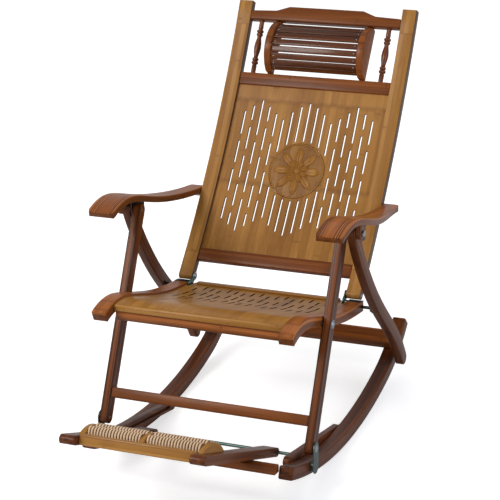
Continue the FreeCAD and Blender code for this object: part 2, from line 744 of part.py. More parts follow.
def arm_plan(side):
    """The armrest from above: broad in front, drawn in beside the back."""
    inner = [(size("armInner"), -118), (size("armInner"), 60), (size("armInner") - 1, 200),
             (size("armRearInner"), 340), (size("armRearInner"), 400)]
    outer = [(size("armRearOuter"), 400), (size("armRearOuter") + 4, 330), (size("armOuter") - 14, 200),
             (size("armOuter"), 60), (size("armOuter"), -118)]
    far = [FreeCAD.Vector(side * x, y, 0) for x, y in inner]
    near = [FreeCAD.Vector(side * x, y, 0) for x, y in outer]
    corner = 8
    front = FreeCAD.Vector(side * (size("armOuter") - corner), -140, 0)
    front_inner = FreeCAD.Vector(side * (size("armInner") + corner), -140, 0)
    edges = [spline(far).toShape(), Part.LineSegment(far[-1], near[0]).toShape(), spline(near).toShape(),
             Part.LineSegment(near[-1], front).toShape(), Part.LineSegment(front, front_inner).toShape(),
             Part.LineSegment(front_inner, far[0]).toShape()]
    return Part.Wire(edges)


def make_armrests():
    """Waved armrests with their pivot lugs, outer cleats and keeper loops."""
    lugs = []
    cleats = []
    loops = []
    for side, word in SIDES:
        wide = "$armOuter - $armRearInner"
        wave = plank("ArmWave" + word, ribbon([at(y, z) for y, z in ARM_LINE], size("armThick") / 2, False, False),
                     side_start(side, "$armRearInner", wide), wide)
        face = doc.addObject("Part::Feature", "ArmPlan" + word)
        face.Shape = Part.Face(arm_plan(side))
        plan = doc.addObject("Part::Extrusion", "ArmOutline" + word)
        plan.Base = face
        plan.Dir = FreeCAD.Vector(0, 0, 1)
        plan.Solid = True
        plan.LengthFwd = 700
        board = doc.addObject("Part::Common", "Armrest" + word)
        board.Base = wave
        board.Tool = plan
        keep("armrest_" + word, board)
        lugs.append(make_arm_hanger(side, word, "Lug", "$rearLegInner - 4.6", "$plateThick"))
        cleats.append(make_arm_hanger(side, word, "Cleat", "$rearLegInner + $rearLegThick + 1", "12"))
        loops.append(make_keeper(side, word))
    keep("arm_lugs", lugs)
    keep("arm_cleats", cleats)
    keep("arm_keepers", loops)


def arm_underside():
    """The smooth curve of the armrest's underside."""
    points = [at(y, z) for y, z in ARM_LINE]
    curve = spline(points)
    below = []
    for point in points:
        heading = curve.tangent(curve.parameter(point))[0]
        below.append(point - FreeCAD.Vector(0, -heading.z, heading.y) * (size("armThick") / 2))
    return spline(below)


def above_arm(name, place, thick):
    """Everything above the armrest's underside, to seat what hangs from it."""
    curve = arm_underside()
    start = curve.value(curve.FirstParameter)
    end = curve.value(curve.LastParameter)
    lid = size("topPivotZ") + 120
    outline = Part.Wire([curve.toShape(), line(end, at(end.y, lid)), line(at(end.y, lid), at(start.y, lid)),
                         line(at(start.y, lid), start)])
    return plank(name, outline, place, thick)


def arm_pin_up():
    """How far up the back the armrest's underside rests on a pin."""
    curve = arm_underside()
    gap = size("boltRadius") + size("looseFit")
    low = 150.0
    high = 320.0
    for _ in range(30):
        up = (low + high) / 2
        spot = back_frame.multVec(back_point(up, 0))
        near = curve.value(curve.parameter(spot))
        if spot.z - near.z > -gap:
            high = up
        else:
            low = up
    return up


def make_arm_hanger(side, word, kind, start, thick):
    """A piece that hangs from the armrest and turns on the top bolt."""
    first = size("topPivotY") - 15
    last = size("topPivotY") + 15
    level = size("topPivotZ")
    high = level + 34
    outline = Part.Wire([line(at(first, high), at(last, high)), line(at(last, high), at(last, level)),
                         arc(at(last, level), at(size("topPivotY"), level - 15), at(first, level)),
                         line(at(first, level), at(first, high))])
    place = side_start(side, start, thick)
    solid = plank(kind + "Plate" + word, outline, place, thick)
    hole = pin(kind + "Hole" + word, place, thick, "$boltRadius + $runFit", "$topPivotY", "$topPivotZ")
    return cut(kind + word, solid, [hole, above_arm(kind + "Above" + word, place, thick)])


def make_keeper(side, word):
    """A steel loop under the armrest behind the legs, with a wooden rung."""
    first = size("topPivotY") + 48
    last = first + 24
    low = size("topPivotZ") - 34
    high = size("topPivotZ") + 34
    outer = loop([at(first, high), at(last, high), at(last, low), at(first, low)])
    inner = loop([at(first + 4, low + 9), at(last - 3, low + 9), at(last - 3, low + 34), at(first + 4, low + 34)])
    place = side_start(side, "$rearLegInner + 3", "14")
    solid = plank("KeeperPlate" + word, outer, place, "14")
    window = plank("KeeperWindow" + word, inner, place, "14")
    return cut("Keeper" + word, solid, [window, above_arm("KeeperAbove" + word, place, "14")])


# Footrest, drawn level from its rod: Y runs towards the front as a negative length
foot_frame = FreeCAD.Placement(ROD,
                               FreeCAD.Rotation(FreeCAD.Vector(1, 0, 0), -size("footAngle")))


def make_footrest_frame():
    """Two arms on one steel rod, joined by a front and a rear rail."""
    half = size("footArmDepth") / 2
    for side, word in SIDES:
        start = side_start(side, "$footArmInner", "$footArmThick")
        solid = plank("FootArmBar" + word, bar(at(0, 0), at(half - size("footArmLong"), 0), half),
                      start, "$footArmThick")
        hole = pin("FootArmHole" + word, start, "$footArmThick", "$rodRadius + $runFit", "0", "0")
        keep("footrest_arm_" + word, cut("FootArm" + word, solid, [hole]), foot_frame)
    reach = "$rockerInner - $guideThick / 2 - 0.5"
    keep("footrest_rod", pin("FootRod", "-(%s)" % reach, "2 * (%s)" % reach, "$rodRadius", "0", "0"), foot_frame)
    front = box("FootFront", "-$footArmInner", "-$rollerMiddle - 84", "-10", "2 * $footArmInner", "18", "26")
    keep("footrest_front_rail", front, foot_frame)
    rear = box("FootRear", "-$footArmInner", "-$rollerMiddle + 64", "-10", "2 * $footArmInner", "18", "24")
    keep("footrest_rear_rail", rear, foot_frame)


def roller_spots():
    """The places of the roller axles, front to rear."""
    spots = []
    for step in (-1, 0, 1):
        y = -size("rollerMiddle") + step * size("rollerPitch")
        z = size("rollerRise") - abs(step) * size("rollerDrop")
        spots.append((y, z))
    return spots


def make_roller_frame():
    """Half-moon end boards, a middle divider and the three axles."""
    half = size("footArmDepth") / 2
    top = size("rollerRise") + 10
    middle = -size("rollerMiddle")
    outline = Part.Wire([line(at(middle - 62, half), at(middle + 62, half)),
                         arc(at(middle + 62, half), at(middle, top), at(middle - 62, half))])
    for side, word in SIDES:
        start = side_start(side, "$footArmInner", "12")
        solid = plank("RollerBoard" + word, outline, start, "12")
        holes = [pin("AxleHole%s%d" % (word, number), start, "12", "$axleRadius", str(y), str(z))
                 for number, (y, z) in enumerate(roller_spots())]
        keep("roller_end_" + word, cut("RollerEnd" + word, solid, holes), foot_frame)
    low = Part.Wire([line(at(middle - 66, -8), at(middle + 64, -8)), line(at(middle + 64, -8), at(middle + 62, half)),
                     arc(at(middle + 62, half), at(middle, top), at(middle - 66, half)),
                     line(at(middle - 66, half), at(middle - 66, -8))])
    solid = plank("DividerBoard", low, "-6", "12")
    holes = [pin("DividerHole%d" % number, "-6", "12", "$axleRadius", str(y), str(z))
             for number, (y, z) in enumerate(roller_spots())]
    keep("roller_divider", cut("Divider", solid, holes), foot_frame)
    reach = "$footArmInner + 12"
    axles = [pin("Axle%d" % number, "-(%s)" % reach, "2 * (%s)" % reach, "$axleRadius", str(y), str(z))
             for number, (y, z) in enumerate(roller_spots())]
    keep("roller_axles", axles, foot_frame)


def make_rollers():
    """Turned rollers with a row of ridges."""
    start = 7
    length = size("footArmInner") - 1 - start
    ridges = int(size("rollerRidges"))
    high = size("rollerRadius")
    low = high - 3
    profile = [(0, low)]
    for ridge in range(ridges):
        profile.append(((ridge + 0.5) * length / ridges, high))
        profile.append(((ridge + 1) * length / ridges, low))
    number = 0
    for side, word in SIDES:
        for y, z in roller_spots():
            number += 1
            solid = turned("Roller%d" % number, profile)
            first = start if side > 0 else -start - length
            solid.Placement = FreeCAD.Placement(FreeCAD.Vector(first, y, z),
                                                FreeCAD.Rotation(FreeCAD.Vector(0, 1, 0), 90))
            bore = pin("RollerBore%d" % number, str(first), str(length), "$axleRadius + $runFit", str(y), str(z))
            keep("roller_%d" % number, cut("RollerBody%d" % number, solid, [bore]), foot_frame)


make_rockers()
make_crossbars()
make_foot_plates()
make_guides()
make_front_legs()
make_stretcher()
make_leg_bolts()
make_rear_legs()
make_seat_rails()
make_seat_pins()
make_seat_boards()
make_hinge_brackets()
make_stiles()
make_back_rails()
make_crest()
make_back_panel()
make_spindles()
make_headrest()
make_armrests()
make_footrest_frame()
make_roller_frame()
make_rollers()
doc.recompute()


def check(thing):
    """Stop if an object failed or its shape can't be used."""
    if "Invalid" in thing.State or "Error" in thing.State:
        raise RuntimeError("%s failed to recompute: %s" % (thing.Name, thing.State))


for thing in doc.Objects:
    check(thing)
os.makedirs("parts", exist_ok=True)
for node in nodes:
    if node.Shape.isNull() or not node.Shape.isValid():
        raise RuntimeError("%s has no usable shape" % node.Label)
    node.Shape.exportStep("parts/%s.step" % node.Label)
print("%d sub-parts" % len(nodes))
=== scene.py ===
import json
import math

import bmesh
import bpy
import numpy as np
from mathutils import Matrix, Vector

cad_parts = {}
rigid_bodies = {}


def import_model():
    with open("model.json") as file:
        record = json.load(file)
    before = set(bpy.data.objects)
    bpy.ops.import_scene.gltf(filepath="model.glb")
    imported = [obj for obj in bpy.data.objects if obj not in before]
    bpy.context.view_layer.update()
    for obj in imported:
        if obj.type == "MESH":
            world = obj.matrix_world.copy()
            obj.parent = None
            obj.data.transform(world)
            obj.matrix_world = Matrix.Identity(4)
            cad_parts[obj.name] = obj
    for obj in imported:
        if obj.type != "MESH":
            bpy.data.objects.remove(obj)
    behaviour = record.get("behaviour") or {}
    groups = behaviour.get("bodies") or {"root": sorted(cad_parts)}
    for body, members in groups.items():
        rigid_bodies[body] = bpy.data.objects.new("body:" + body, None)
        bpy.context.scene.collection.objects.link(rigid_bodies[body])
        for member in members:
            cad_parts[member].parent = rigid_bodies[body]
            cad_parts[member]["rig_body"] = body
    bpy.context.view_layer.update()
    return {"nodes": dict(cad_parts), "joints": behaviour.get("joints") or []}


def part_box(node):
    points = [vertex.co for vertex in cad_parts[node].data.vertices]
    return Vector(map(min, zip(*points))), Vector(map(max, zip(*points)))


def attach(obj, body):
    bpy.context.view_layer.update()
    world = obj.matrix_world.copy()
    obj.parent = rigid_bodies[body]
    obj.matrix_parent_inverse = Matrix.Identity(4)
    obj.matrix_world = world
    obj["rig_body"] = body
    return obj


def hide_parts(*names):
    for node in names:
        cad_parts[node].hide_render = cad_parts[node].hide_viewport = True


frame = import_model()
joints = {joint["name"]: joint for joint in frame["joints"]}
print("frame loaded:", len(frame["nodes"]), "nodes")

# slopes of the standing chair's parts, in degrees from level, and the centre of its rockers' curve in side view
chair = {"lean": 7.3, "backSlope": 50.8, "legSlope": 60.0, "rearLegSlope": -55.5, "footSlope": 17.6,
         "rockerCentre": (0.0457, 1.1)}
sides = ((-1, "left"), (1, "right"))


# sums on shader sockets, written as plain sums
class Signal:
    def __init__(self, finish, socket):
        self.finish = finish
        self.socket = socket

    def sum(self, operation, *entries):
        return self.finish.node("ShaderNodeMath", {"operation": operation}, dict(enumerate(entries)))

    def __add__(self, other): return self.sum("ADD", self, other)
    def __radd__(self, other): return self.sum("ADD", other, self)
    def __sub__(self, other): return self.sum("SUBTRACT", self, other)
    def __rsub__(self, other): return self.sum("SUBTRACT", other, self)
    def __mul__(self, other): return self.sum("MULTIPLY", self, other)
    def __rmul__(self, other): return self.sum("MULTIPLY", other, self)
    def __truediv__(self, other): return self.sum("DIVIDE", self, other)
    def floor(self): return self.sum("FLOOR", self)
    def fract(self): return self.sum("FRACT", self)
    def size(self): return self.sum("ABSOLUTE", self)
    def root(self): return self.sum("SQRT", self)
    def bigger(self, other): return self.sum("MAXIMUM", self, other)
    def smaller(self, other): return self.sum("MINIMUM", self, other)

    def rise(self, low, high):            # 0 below low, 1 above high, smooth between
        return self.finish.node("ShaderNodeMapRange", {"interpolation_type": "SMOOTHSTEP"},
                                {"Value": self, "From Min": low, "From Max": high})

    def band(self, middle, half, soft):   # 1 near a value, 0 away from it
        return 1 - (self - middle).size().rise(half, half + soft)


class Finish:
    def __init__(self, name):
        self.material = bpy.data.materials.new(name)
        self.material.use_nodes = True
        self.tree = self.material.node_tree
        self.tree.nodes.clear()
        self.place = self.node("ShaderNodeTexCoord", output="Object")

    def node(self, kind, settings=None, entries=None, output=0):
        made = self.tree.nodes.new(kind)
        for key, value in (settings or {}).items():
            setattr(made, key, value)
        for key, value in (entries or {}).items():
            if isinstance(value, Signal):
                self.tree.links.new(value.socket, made.inputs[key])
            else:
                made.inputs[key].default_value = value
        return Signal(self, made.outputs[output])

    def along(self, way):
        return self.node("ShaderNodeVectorMath", {"operation": "DOT_PRODUCT"}, {0: self.place, 1: way}, "Value")

    def point(self, x, y, z):
        return self.node("ShaderNodeCombineXYZ", None, {0: x, 1: y, 2: z})

    def noise(self, vector, scale=1.0, detail=2.0, rough=0.5):
        return self.node("ShaderNodeTexNoise", None,
                         {"Vector": vector, "Scale": scale, "Detail": detail, "Roughness": rough})

    def chance(self, vector):
        return self.node("ShaderNodeTexWhiteNoise", {"noise_dimensions": "3D"}, {"Vector": vector})

    def mix(self, share, first, second):
        return self.node("ShaderNodeMix", {"data_type": "RGBA", "blend_type": "MIX"},
                         {0: share, 6: first, 7: second}, 2)

    def surface(self, colour, roughness, height=None, depth=0.0003, **rest):
        entries = {"Base Color": colour, "Roughness": roughness, **rest}
        if height is not None:
            entries["Normal"] = self.node("ShaderNodeBump", None,
                                          {"Strength": 1.0, "Distance": depth, "Height": height})
        shader = self.node("ShaderNodeBsdfPrincipled", None, entries)
        end = self.tree.nodes.new("ShaderNodeOutputMaterial")
        self.tree.links.new(shader.socket, end.inputs["Surface"])
        return self.material


def colour(red, green, blue):             # screen values 0-255 to a shader colour
    parts = []
    for value in (red, green, blue):
        value = value / 255
        parts.append(value / 12.92 if value <= 0.04045 else ((value + 0.055) / 1.055) ** 2.4)
    return (*parts, 1.0)


def slope(degrees):                       # a direction in side view, from level, towards the rear and up
    return (0.0, math.cos(math.radians(degrees)), math.sin(math.radians(degrees)))


acrossChair = (1.0, 0.0, 0.0)


# bamboo: glued strips, fibres, dark flecks and the rings where a cane had its joints
bamboo = {
    "golden": {"light": colour(184, 130, 60), "dark": colour(140, 90, 32), "ring": colour(92, 50, 16)},
    "pale": {"light": colour(186, 134, 66), "dark": colour(146, 96, 40), "ring": colour(104, 60, 22)},
    "brown": {"light": colour(146, 82, 34), "dark": colour(92, 46, 18), "ring": colour(50, 22, 8)},
    "red": {"light": colour(118, 64, 30), "dark": colour(66, 32, 14), "ring": colour(38, 18, 8)},
    "amber": {"light": colour(182, 108, 50), "dark": colour(124, 66, 26), "ring": colour(62, 28, 10)},
    "front": {"light": colour(132, 72, 32), "dark": colour(80, 40, 18), "ring": colour(40, 18, 8)},
    # the wall tone is painted shade for the slots' inner faces
    "wall": {"light": colour(64, 36, 16), "dark": colour(34, 18, 8), "ring": colour(22, 10, 4)},
    "roller": {"light": colour(244, 216, 182), "dark": colour(214, 174, 130), "ring": colour(130, 86, 48)},
}
# frequencies across and along the fibres, shares of each effect in the tone, and sizes of the marks
grain = {"fine": (520.0, 9.0), "coarse": (60.0, 3.0), "cloud": (5.0, 3.0), "fineShare": 0.8, "coarseShare": 1.0,
         "cloudShare": 0.8, "start": (0.37, 0.21), "joints": 0.27, "ring": (0.5, 0.004, 0.012), "ringed": (0.3, 0.9),
         "stain": (0.5, 0.02, 0.12), "stained": (0.48, 0.66), "ringShare": 0.3, "fleck": (0.63, 0.72),
         "fleckShare": 0.3, "edge": 0.0006, "edgeShare": 0.35, "seam": 0.0005, "seamShare": 0.3, "seamDepth": 0.6,
         "depth": 0.00025, "rough": 0.25, "roughShare": 0.14, "shine": 0.16, "coatRough": 0.12}


def bambooFinish(name, tone, way, strip=0.02, layer=0.006, bow=(), radial=False, seed=0.0, extra=None, gloss=0.05,
                 contrast=0.55):
    tone = bamboo[tone]
    finish = Finish(name)
    lengthwise = finish.along(way)
    if abs(way[0]) > 0.5:
        broad, thick = finish.along(slope(chair["backSlope"])), finish.along(slope(chair["backSlope"] + 90))
    else:
        broad, thick = finish.along(acrossChair), finish.along((0.0, -way[2], way[1]))
    if radial:                            # layers that follow the rocker's curve
        middleY, middleZ = chair["rockerCentre"]
        y, z = finish.along((0.0, 1.0, 0.0)) - middleY, finish.along((0.0, 0.0, 1.0)) - middleZ
        thick = (y * y + z * z).root()
    if len(bow):                          # layers that follow a bowed or waved bar
        line = float(bow[0])
        for factor in bow[1:]:
            line = line * lengthwise + float(factor)
        thick = thick - line
    across, down = broad / strip + grain["start"][0] + seed, thick / layer + grain["start"][1]
    cell = finish.point(across.floor(), down.floor(), seed)
    chance = finish.chance(cell)
    side, run = grain["fine"]
    fine = finish.noise(finish.point(broad * side, thick * side, lengthwise * run), detail=3.0, rough=0.6)
    side, run = grain["coarse"]
    coarse = finish.noise(finish.point(broad * side, thick * side, lengthwise * run + chance * 9.0), detail=2.0)
    side, run = grain["cloud"]
    cloud = finish.noise(finish.point(broad * side, thick * side, lengthwise * run + seed), detail=1.0)
    tint = 0.5 + (chance - 0.5) * contrast + (fine - 0.5) * grain["fineShare"]
    tint = tint + (coarse - 0.5) * grain["coarseShare"] + (cloud - 0.5) * grain["cloudShare"]
    base = finish.mix(tint.bigger(0.0).smaller(1.0), tone["dark"], tone["light"])
    spot = (lengthwise / grain["joints"] + chance * 7.0).fract()
    ring = spot.band(*grain["ring"]) * chance.rise(*grain["ringed"]) * grain["ringShare"]
    ring = ring + spot.band(*grain["stain"]) * coarse.rise(*grain["stained"]) * grain["ringShare"]
    fleck = fine.rise(*grain["fleck"]) * grain["fleckShare"]
    edge = (across.fract() - 0.5).size().rise(0.5 - grain["edge"] / strip, 0.5) * grain["edgeShare"]
    seam = (down.fract() - 0.5).size().rise(0.5 - grain["seam"] / layer, 0.5) * grain["seamShare"]
    base = finish.mix(ring.bigger(fleck).bigger(edge).bigger(seam), base, tone["ring"])
    height = fine * 0.5 - ring * 0.5 - edge - seam * grain["seamDepth"]
    if extra:
        base, height = extra(finish, base, height, broad, thick, lengthwise)
    shine = {"Specular IOR Level": grain["shine"], "Coat Weight": gloss, "Coat Roughness": grain["coatRough"]}
    return finish.surface(base, grain["rough"] + fine * grain["roughShare"], height, grain["depth"], **shine)


plating = {"cloud": 60.0, "speck": 900.0, "specks": (0.62, 0.75), "speckShare": 0.4, "cloudRough": 0.2,
           "cloudDepth": 2.0, "depth": 0.00008}


def metalFinish(name, tone, rough):       # tone is dark, light and specks
    finish = Finish(name)
    cloud = finish.noise(finish.place, plating["cloud"], 4.0, 0.65)
    speck = finish.noise(finish.place, plating["speck"], 2.0)
    base = finish.mix((cloud * 1.4 - 0.2).bigger(0.0).smaller(1.0), tone[0], tone[1])
    base = finish.mix(speck.rise(*plating["specks"]) * plating["speckShare"], base, tone[2])
    return finish.surface(base, rough + cloud * plating["cloudRough"], speck + cloud * plating["cloudDepth"],
                          plating["depth"], Metallic=1.0)


def centreLine(node, way, degree):        # the curve of a bar's middle, from its own outline
    spots = np.array([vertex.co for vertex in frame["nodes"][node].data.vertices])
    run, rise = spots @ np.array(way), spots @ np.array((0.0, -way[2], way[1]))
    return np.polyfit(run, rise, degree)


# armrests: lines are the grooves' distances from the chair's middle, and crossLine is the place of the one across them;
# groove is painted shade in the grooves, and glint is a painted highlight beside them
armrest = {"lines": (0.2645, 0.2695, 0.2745, 0.3065, 0.3125, 0.3185), "line": (0.0008, 0.0009), "crossLine": -0.058,
           "cross": (0.0016, 0.0012), "top": (0.0, 0.004), "edge": 0.0035, "grooveShare": 0.75, "grooveDepth": 6.0,
           "groove": colour(72, 28, 10), "glintAway": 0.003, "glintBand": (0.0014, 0.001), "glintShare": 0.35,
           "glint": colour(196, 120, 62)}
# painted shade on the sides of the armrests and seat rails, below their tops
sideShade = {"fade": (0.0042, 0.0068), "share": 0.6, "shade": colour(60, 28, 12)}
stile = {"rightOuter": (0.2486, 0.2496), "leftInner": (-0.212, 0.0003, 0.0006), "share": 0.8,
         "shade": colour(44, 42, 46)}
nosing = {"fade": (0.384, 0.398), "share": 0.65, "shade": colour(50, 22, 10)}
leg = {"frontFace": (0.3052, 0.3068), "middle": 0.269, "edge": (0.0052, 0.0086), "edgeShare": 0.75,
       "streaks": (330.0, 2.0), "streak": (0.52, 0.66), "streakShare": 0.6, "fade": (0.3, 0.7)}
hollow = {"rise": 0.0262, "ahead": 0.0024, "fade": (-0.0012, 0.0004), "share": 0.32, "shade": colour(70, 36, 14)}
roller = {"inner": 0.007, "length": 0.133, "beads": 18, "radius": 0.014, "valley": 0.0098, "bore": 0.0031,
          "parts": 8, "swell": 0.55, "steps": 24, "fade": (0.2, 0.44), "share": 0.85, "shade": colour(74, 38, 18)}


# extras take a finish's base colour and height and give them back changed
def armGrooves(finish, base, height, broad, thick, lengthwise):
    across = broad.size()
    top = thick.rise(*armrest["top"])
    near = finish.along((0.0, 1.0, 0.0))
    front = 1 - near.rise(armrest["crossLine"], armrest["crossLine"] + 0.002)
    lines = 0.0
    for spot in armrest["lines"]:
        lines = across.band(spot, *armrest["line"]).bigger(lines)
    second, first, last = armrest["lines"][1:4]
    inside = across.rise(first, first + 0.001) * (1 - across.rise(last - 0.001, last))
    cross = near.band(armrest["crossLine"], *armrest["cross"]) * inside
    cut = (lines * front).bigger(cross) * top
    # painted shade in the grooves
    base = finish.mix(cut * armrest["grooveShare"], base, armrest["groove"])
    base, height = paintSideShade(finish, base, height, broad, thick, lengthwise)
    outer = across.band(last + armrest["glintAway"], *armrest["glintBand"])
    inner = across.band(second + armrest["glintAway"], *armrest["glintBand"])
    # painted highlight lines beside the outer and second grooves
    base = finish.mix(outer.bigger(inner) * front * top * armrest["glintShare"], base, armrest["glint"])
    return base, height - cut * armrest["grooveDepth"]


def paintSideShade(finish, base, height, broad, thick, lengthwise):      # painted shade: the sides below the top are darker than the top
    return finish.mix((1 - thick.rise(*sideShade["fade"])) * sideShade["share"], base, sideShade["shade"]), height


def shadedSides(finish, base, height, broad, thick, lengthwise):    # the stiles' sides that face away from the light
    side = broad.rise(*stile["rightOuter"]).bigger(broad.band(*stile["leftInner"]))
    return finish.mix(side * stile["share"], base, stile["shade"]), height


def shadeBelowNosing(finish, base, height, broad, thick, lengthwise):      # painted shade along the lower edge of the seat's front rail
    low = 1 - finish.along((0.0, 0.0, 1.0)).rise(*nosing["fade"])
    return finish.mix(low * nosing["share"], base, nosing["shade"]), height


def legStripes(finish, base, height, broad, thick, lengthwise):     # streaks on the front faces of the legs
    tone = bamboo["front"]
    front = thick.rise(*leg["frontFace"])
    across = (broad.size() - leg["middle"]).size()
    side, run = leg["streaks"]
    streak = finish.noise(finish.point(broad * side, 0.0, lengthwise * run), detail=2.0, rough=0.55)
    shade = (across.rise(*leg["edge"]) * leg["edgeShare"]).bigger(streak.rise(*leg["streak"]) * leg["streakShare"])
    face = finish.mix(streak.rise(*leg["fade"]), tone["light"], tone["dark"])
    face = finish.mix(shade, face, tone["ring"])
    return finish.mix(front, base, face), height


def medalHollows(finish, base, height, broad, thick, lengthwise):   # darker towards the sunk ground
    sunk = (finish.along(medalWay) - medalPlace).rise(*hollow["fade"]) * hollow["share"]
    return finish.mix(sunk, base, hollow["shade"]), height


def rollerValleyShade(finish, base, height, broad, thick, lengthwise):  # painted shade in the valleys between the beads
    spot = ((lengthwise.size() - roller["inner"]) / (roller["length"] / roller["beads"])).fract()
    valley = (spot - 0.5).size().rise(*roller["fade"])
    return finish.mix(valley * roller["share"], base, roller["shade"]), height


backWay, rearWay, level = slope(chair["backSlope"]), slope(chair["rearLegSlope"]), slope(0.0)
legWay, footWay = slope(chair["legSlope"]), slope(-chair["footSlope"] - chair["lean"])
hinge = Vector(joints["backrest_fold"]["pos_m"])
medalWay = (0.0, math.sin(math.radians(chair["backSlope"])), -math.cos(math.radians(chair["backSlope"])))
medalPlace = hinge.dot(Vector(medalWay)) + hollow["rise"] - hollow["ahead"]      # the plane of its ground
rearBow, armBow = centreLine("rear_leg_left", rearWay, 4), centreLine("armrest_left", level, 6)
seatBow = centreLine("seat_rail_left", level, 5)
finishes = {
    "panel": bambooFinish("panelBamboo", "golden", backWay, 0.021, 0.02, contrast=0.45),
    "stile": bambooFinish("stileBamboo", "pale", backWay, 0.0127, 0.021, seed=3.0, extra=shadedSides),
    "cross": bambooFinish("railBamboo", "brown", acrossChair, 0.02, 0.0065, seed=1.0),
    "slat": bambooFinish("slatBamboo", "red", acrossChair, 0.03, 0.03, seed=5.0, gloss=0.35),
    "leg": bambooFinish("legBamboo", "red", legWay, 0.0068, 0.016, seed=2.0, extra=legStripes),
    # painted shade for the slot walls
    "wall": bambooFinish("slotWallShade", "wall", backWay, 0.021, 0.02, seed=16.0, gloss=0.0),
    "rearLeg": bambooFinish("rearLegBamboo", "red", rearWay, 0.011, 0.0058, bow=rearBow, seed=4.0),
    "seatRail": bambooFinish("seatRailBamboo", "amber", level, 0.0094, 0.0065, bow=seatBow, seed=6.0, extra=paintSideShade),
    "seat": bambooFinish("seatBamboo", "golden", level, 0.021, 0.02, bow=seatBow, seed=7.0),
    "arm": bambooFinish("armBamboo", "amber", level, 0.0125, 0.0082, extra=armGrooves, bow=armBow, seed=8.0, gloss=0.1),
    "rocker": bambooFinish("rockerBamboo", "red", level, 0.0121, 0.0064, radial=True, seed=9.0),
    "crossGold": bambooFinish("goldenRailBamboo", "pale", acrossChair, 0.02, 0.0065, seed=10.0, gloss=0.25),
    "footArm": bambooFinish("footArmBamboo", "red", footWay, 0.0095, 0.0073, seed=11.0),
    "footBoard": bambooFinish("footBoardBamboo", "golden", footWay, 0.006, 0.02, seed=12.0),
    "roller": bambooFinish("rollerBamboo", "roller", acrossChair, 0.012, 0.012, seed=13.0, extra=rollerValleyShade),
    "nosing": bambooFinish("nosingBamboo", "amber", acrossChair, 0.02, 0.009, seed=15.0, extra=shadeBelowNosing, gloss=0.2),
    "spindle": bambooFinish("spindleBamboo", "front", backWay, 0.006, 0.006, seed=14.0, gloss=0.4),
    "medal": bambooFinish("medallionBamboo", "golden", backWay, 0.021, 0.02, seed=0.0, extra=medalHollows),
    "zinc": metalFinish("zincPlate", (colour(60, 84, 80), colour(112, 136, 126), colour(40, 46, 42)), 0.3),
    "plate": metalFinish("footPlateSteel", (colour(66, 78, 76), colour(126, 138, 134), colour(40, 40, 38)), 0.34),
    "steel": metalFinish("boltSteel", (colour(120, 124, 128), colour(190, 194, 196), colour(50, 48, 46)), 0.22),
    "dark": metalFinish("darkSteel", (colour(44, 42, 42), colour(84, 80, 78), colour(24, 22, 22)), 0.35),
}
print("finishes made:", len(finishes))

wears = {
    "rocker": ["rocker_left", "rocker_right"], "leg": ["front_leg_left", "front_leg_right"],
    "rearLeg": ["rear_leg_left", "rear_leg_right"], "seatRail": ["seat_rail_left", "seat_rail_right"],
    "seat": ["seat_panel"], "panel": ["back_panel"], "stile": ["back_stile_left", "back_stile_right"],
    "cross": ["bottom_rail", "neck_rail", "crest_rail", "front_stretcher", "base_front_crossbar",
              "base_rear_crossbar", "seat_rear_rail", "headrest_end_left", "headrest_end_right", "footrest_rear_rail"],
    "crossGold": ["footrest_front_rail"], "nosing": ["seat_front_rail"], "slat": ["headrest_slats"],
    "arm": ["armrest_left", "armrest_right", "arm_cleats"],
    "footArm": ["footrest_arm_left", "footrest_arm_right", "footrest_guide_left", "footrest_guide_right"],
    "footBoard": ["roller_end_left", "roller_end_right", "roller_divider", "roller_axles"],
    "plate": ["foot_plates"], "zinc": ["footrest_rod", "hinge_brackets"],
    "dark": ["arm_keepers", "seat_hooks", "seat_pins", "arm_lugs"],
    "steel": ["foot_bolts", "seat_bolts", "top_bolts", "hinge_pins", "arm_pins"],
    "roller": ["roller_%d" % number for number in range(1, 7)], "spindle": ["spindles"], "medal": ["medallion"],
}
for key, names in wears.items():
    for name in names:
        data = frame["nodes"][name].data
        data.materials.clear()
        data.materials.append(finishes[key])

# the back, drawn upright from its hinge: Z up the back, Y behind it
back = {"length": 0.778, "sag": 0.027}
back["radius"] = back["length"] ** 2 / 8 / back["sag"] + back["sag"] / 2
backPlace = Matrix.Translation((0, hinge.y, hinge.z)) @ Matrix.Rotation(math.radians(chair["backSlope"] - 90), 4, "X")


# pieces with softened edges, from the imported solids
def alone(piece):
    bpy.ops.object.select_all(action="DESELECT")
    piece.select_set(True)
    bpy.context.view_layer.objects.active = piece


def bevelled(piece, width, steps):
    bevel = piece.modifiers.new("edges", "BEVEL")
    bevel.width = width
    bevel.segments = steps
    bevel.limit_method = "ANGLE"
    bevel.angle_limit = math.radians(30)
    bevel.use_clamp_overlap = True
    bpy.ops.object.modifier_apply(modifier=bevel.name)


def softened(node, name, edge, steps=3, flat=0.4, smooth=32.0, slotted=False):
    source = frame["nodes"][node]
    data = source.data.copy()
    data.name = name
    piece = bpy.data.objects.new(name, data)
    bpy.context.scene.collection.objects.link(piece)
    alone(piece)
    bpy.ops.object.mode_set(mode="EDIT")
    bpy.ops.mesh.select_all(action="SELECT")
    bpy.ops.mesh.remove_doubles(threshold=0.00002)
    bpy.ops.mesh.dissolve_limited(angle_limit=math.radians(flat))
    bpy.ops.object.mode_set(mode="OBJECT")
    if slotted:
        roundSlots(piece)
    if node in ("armrest_left", "armrest_right"):
        roundCorner(piece)
    if data.has_custom_normals:
        bpy.ops.mesh.customdata_custom_splitnormals_clear()
    bevelled(piece, edge, steps)
    bpy.ops.object.shade_smooth_by_angle(angle=math.radians(smooth))
    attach(piece, source["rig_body"])
    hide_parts(node)
    return piece


# the boards' slots: end radius, height of an upright edge and its spread, reach from the middle, largest wall's area
slots = {"radius": 0.0023, "depth": 0.006, "spread": 0.0016, "reach": 0.2, "wall": 0.0006}
corner = {"radius": 0.014, "height": (0.008, 0.03), "reach": 0.02, "aside": 0.28}


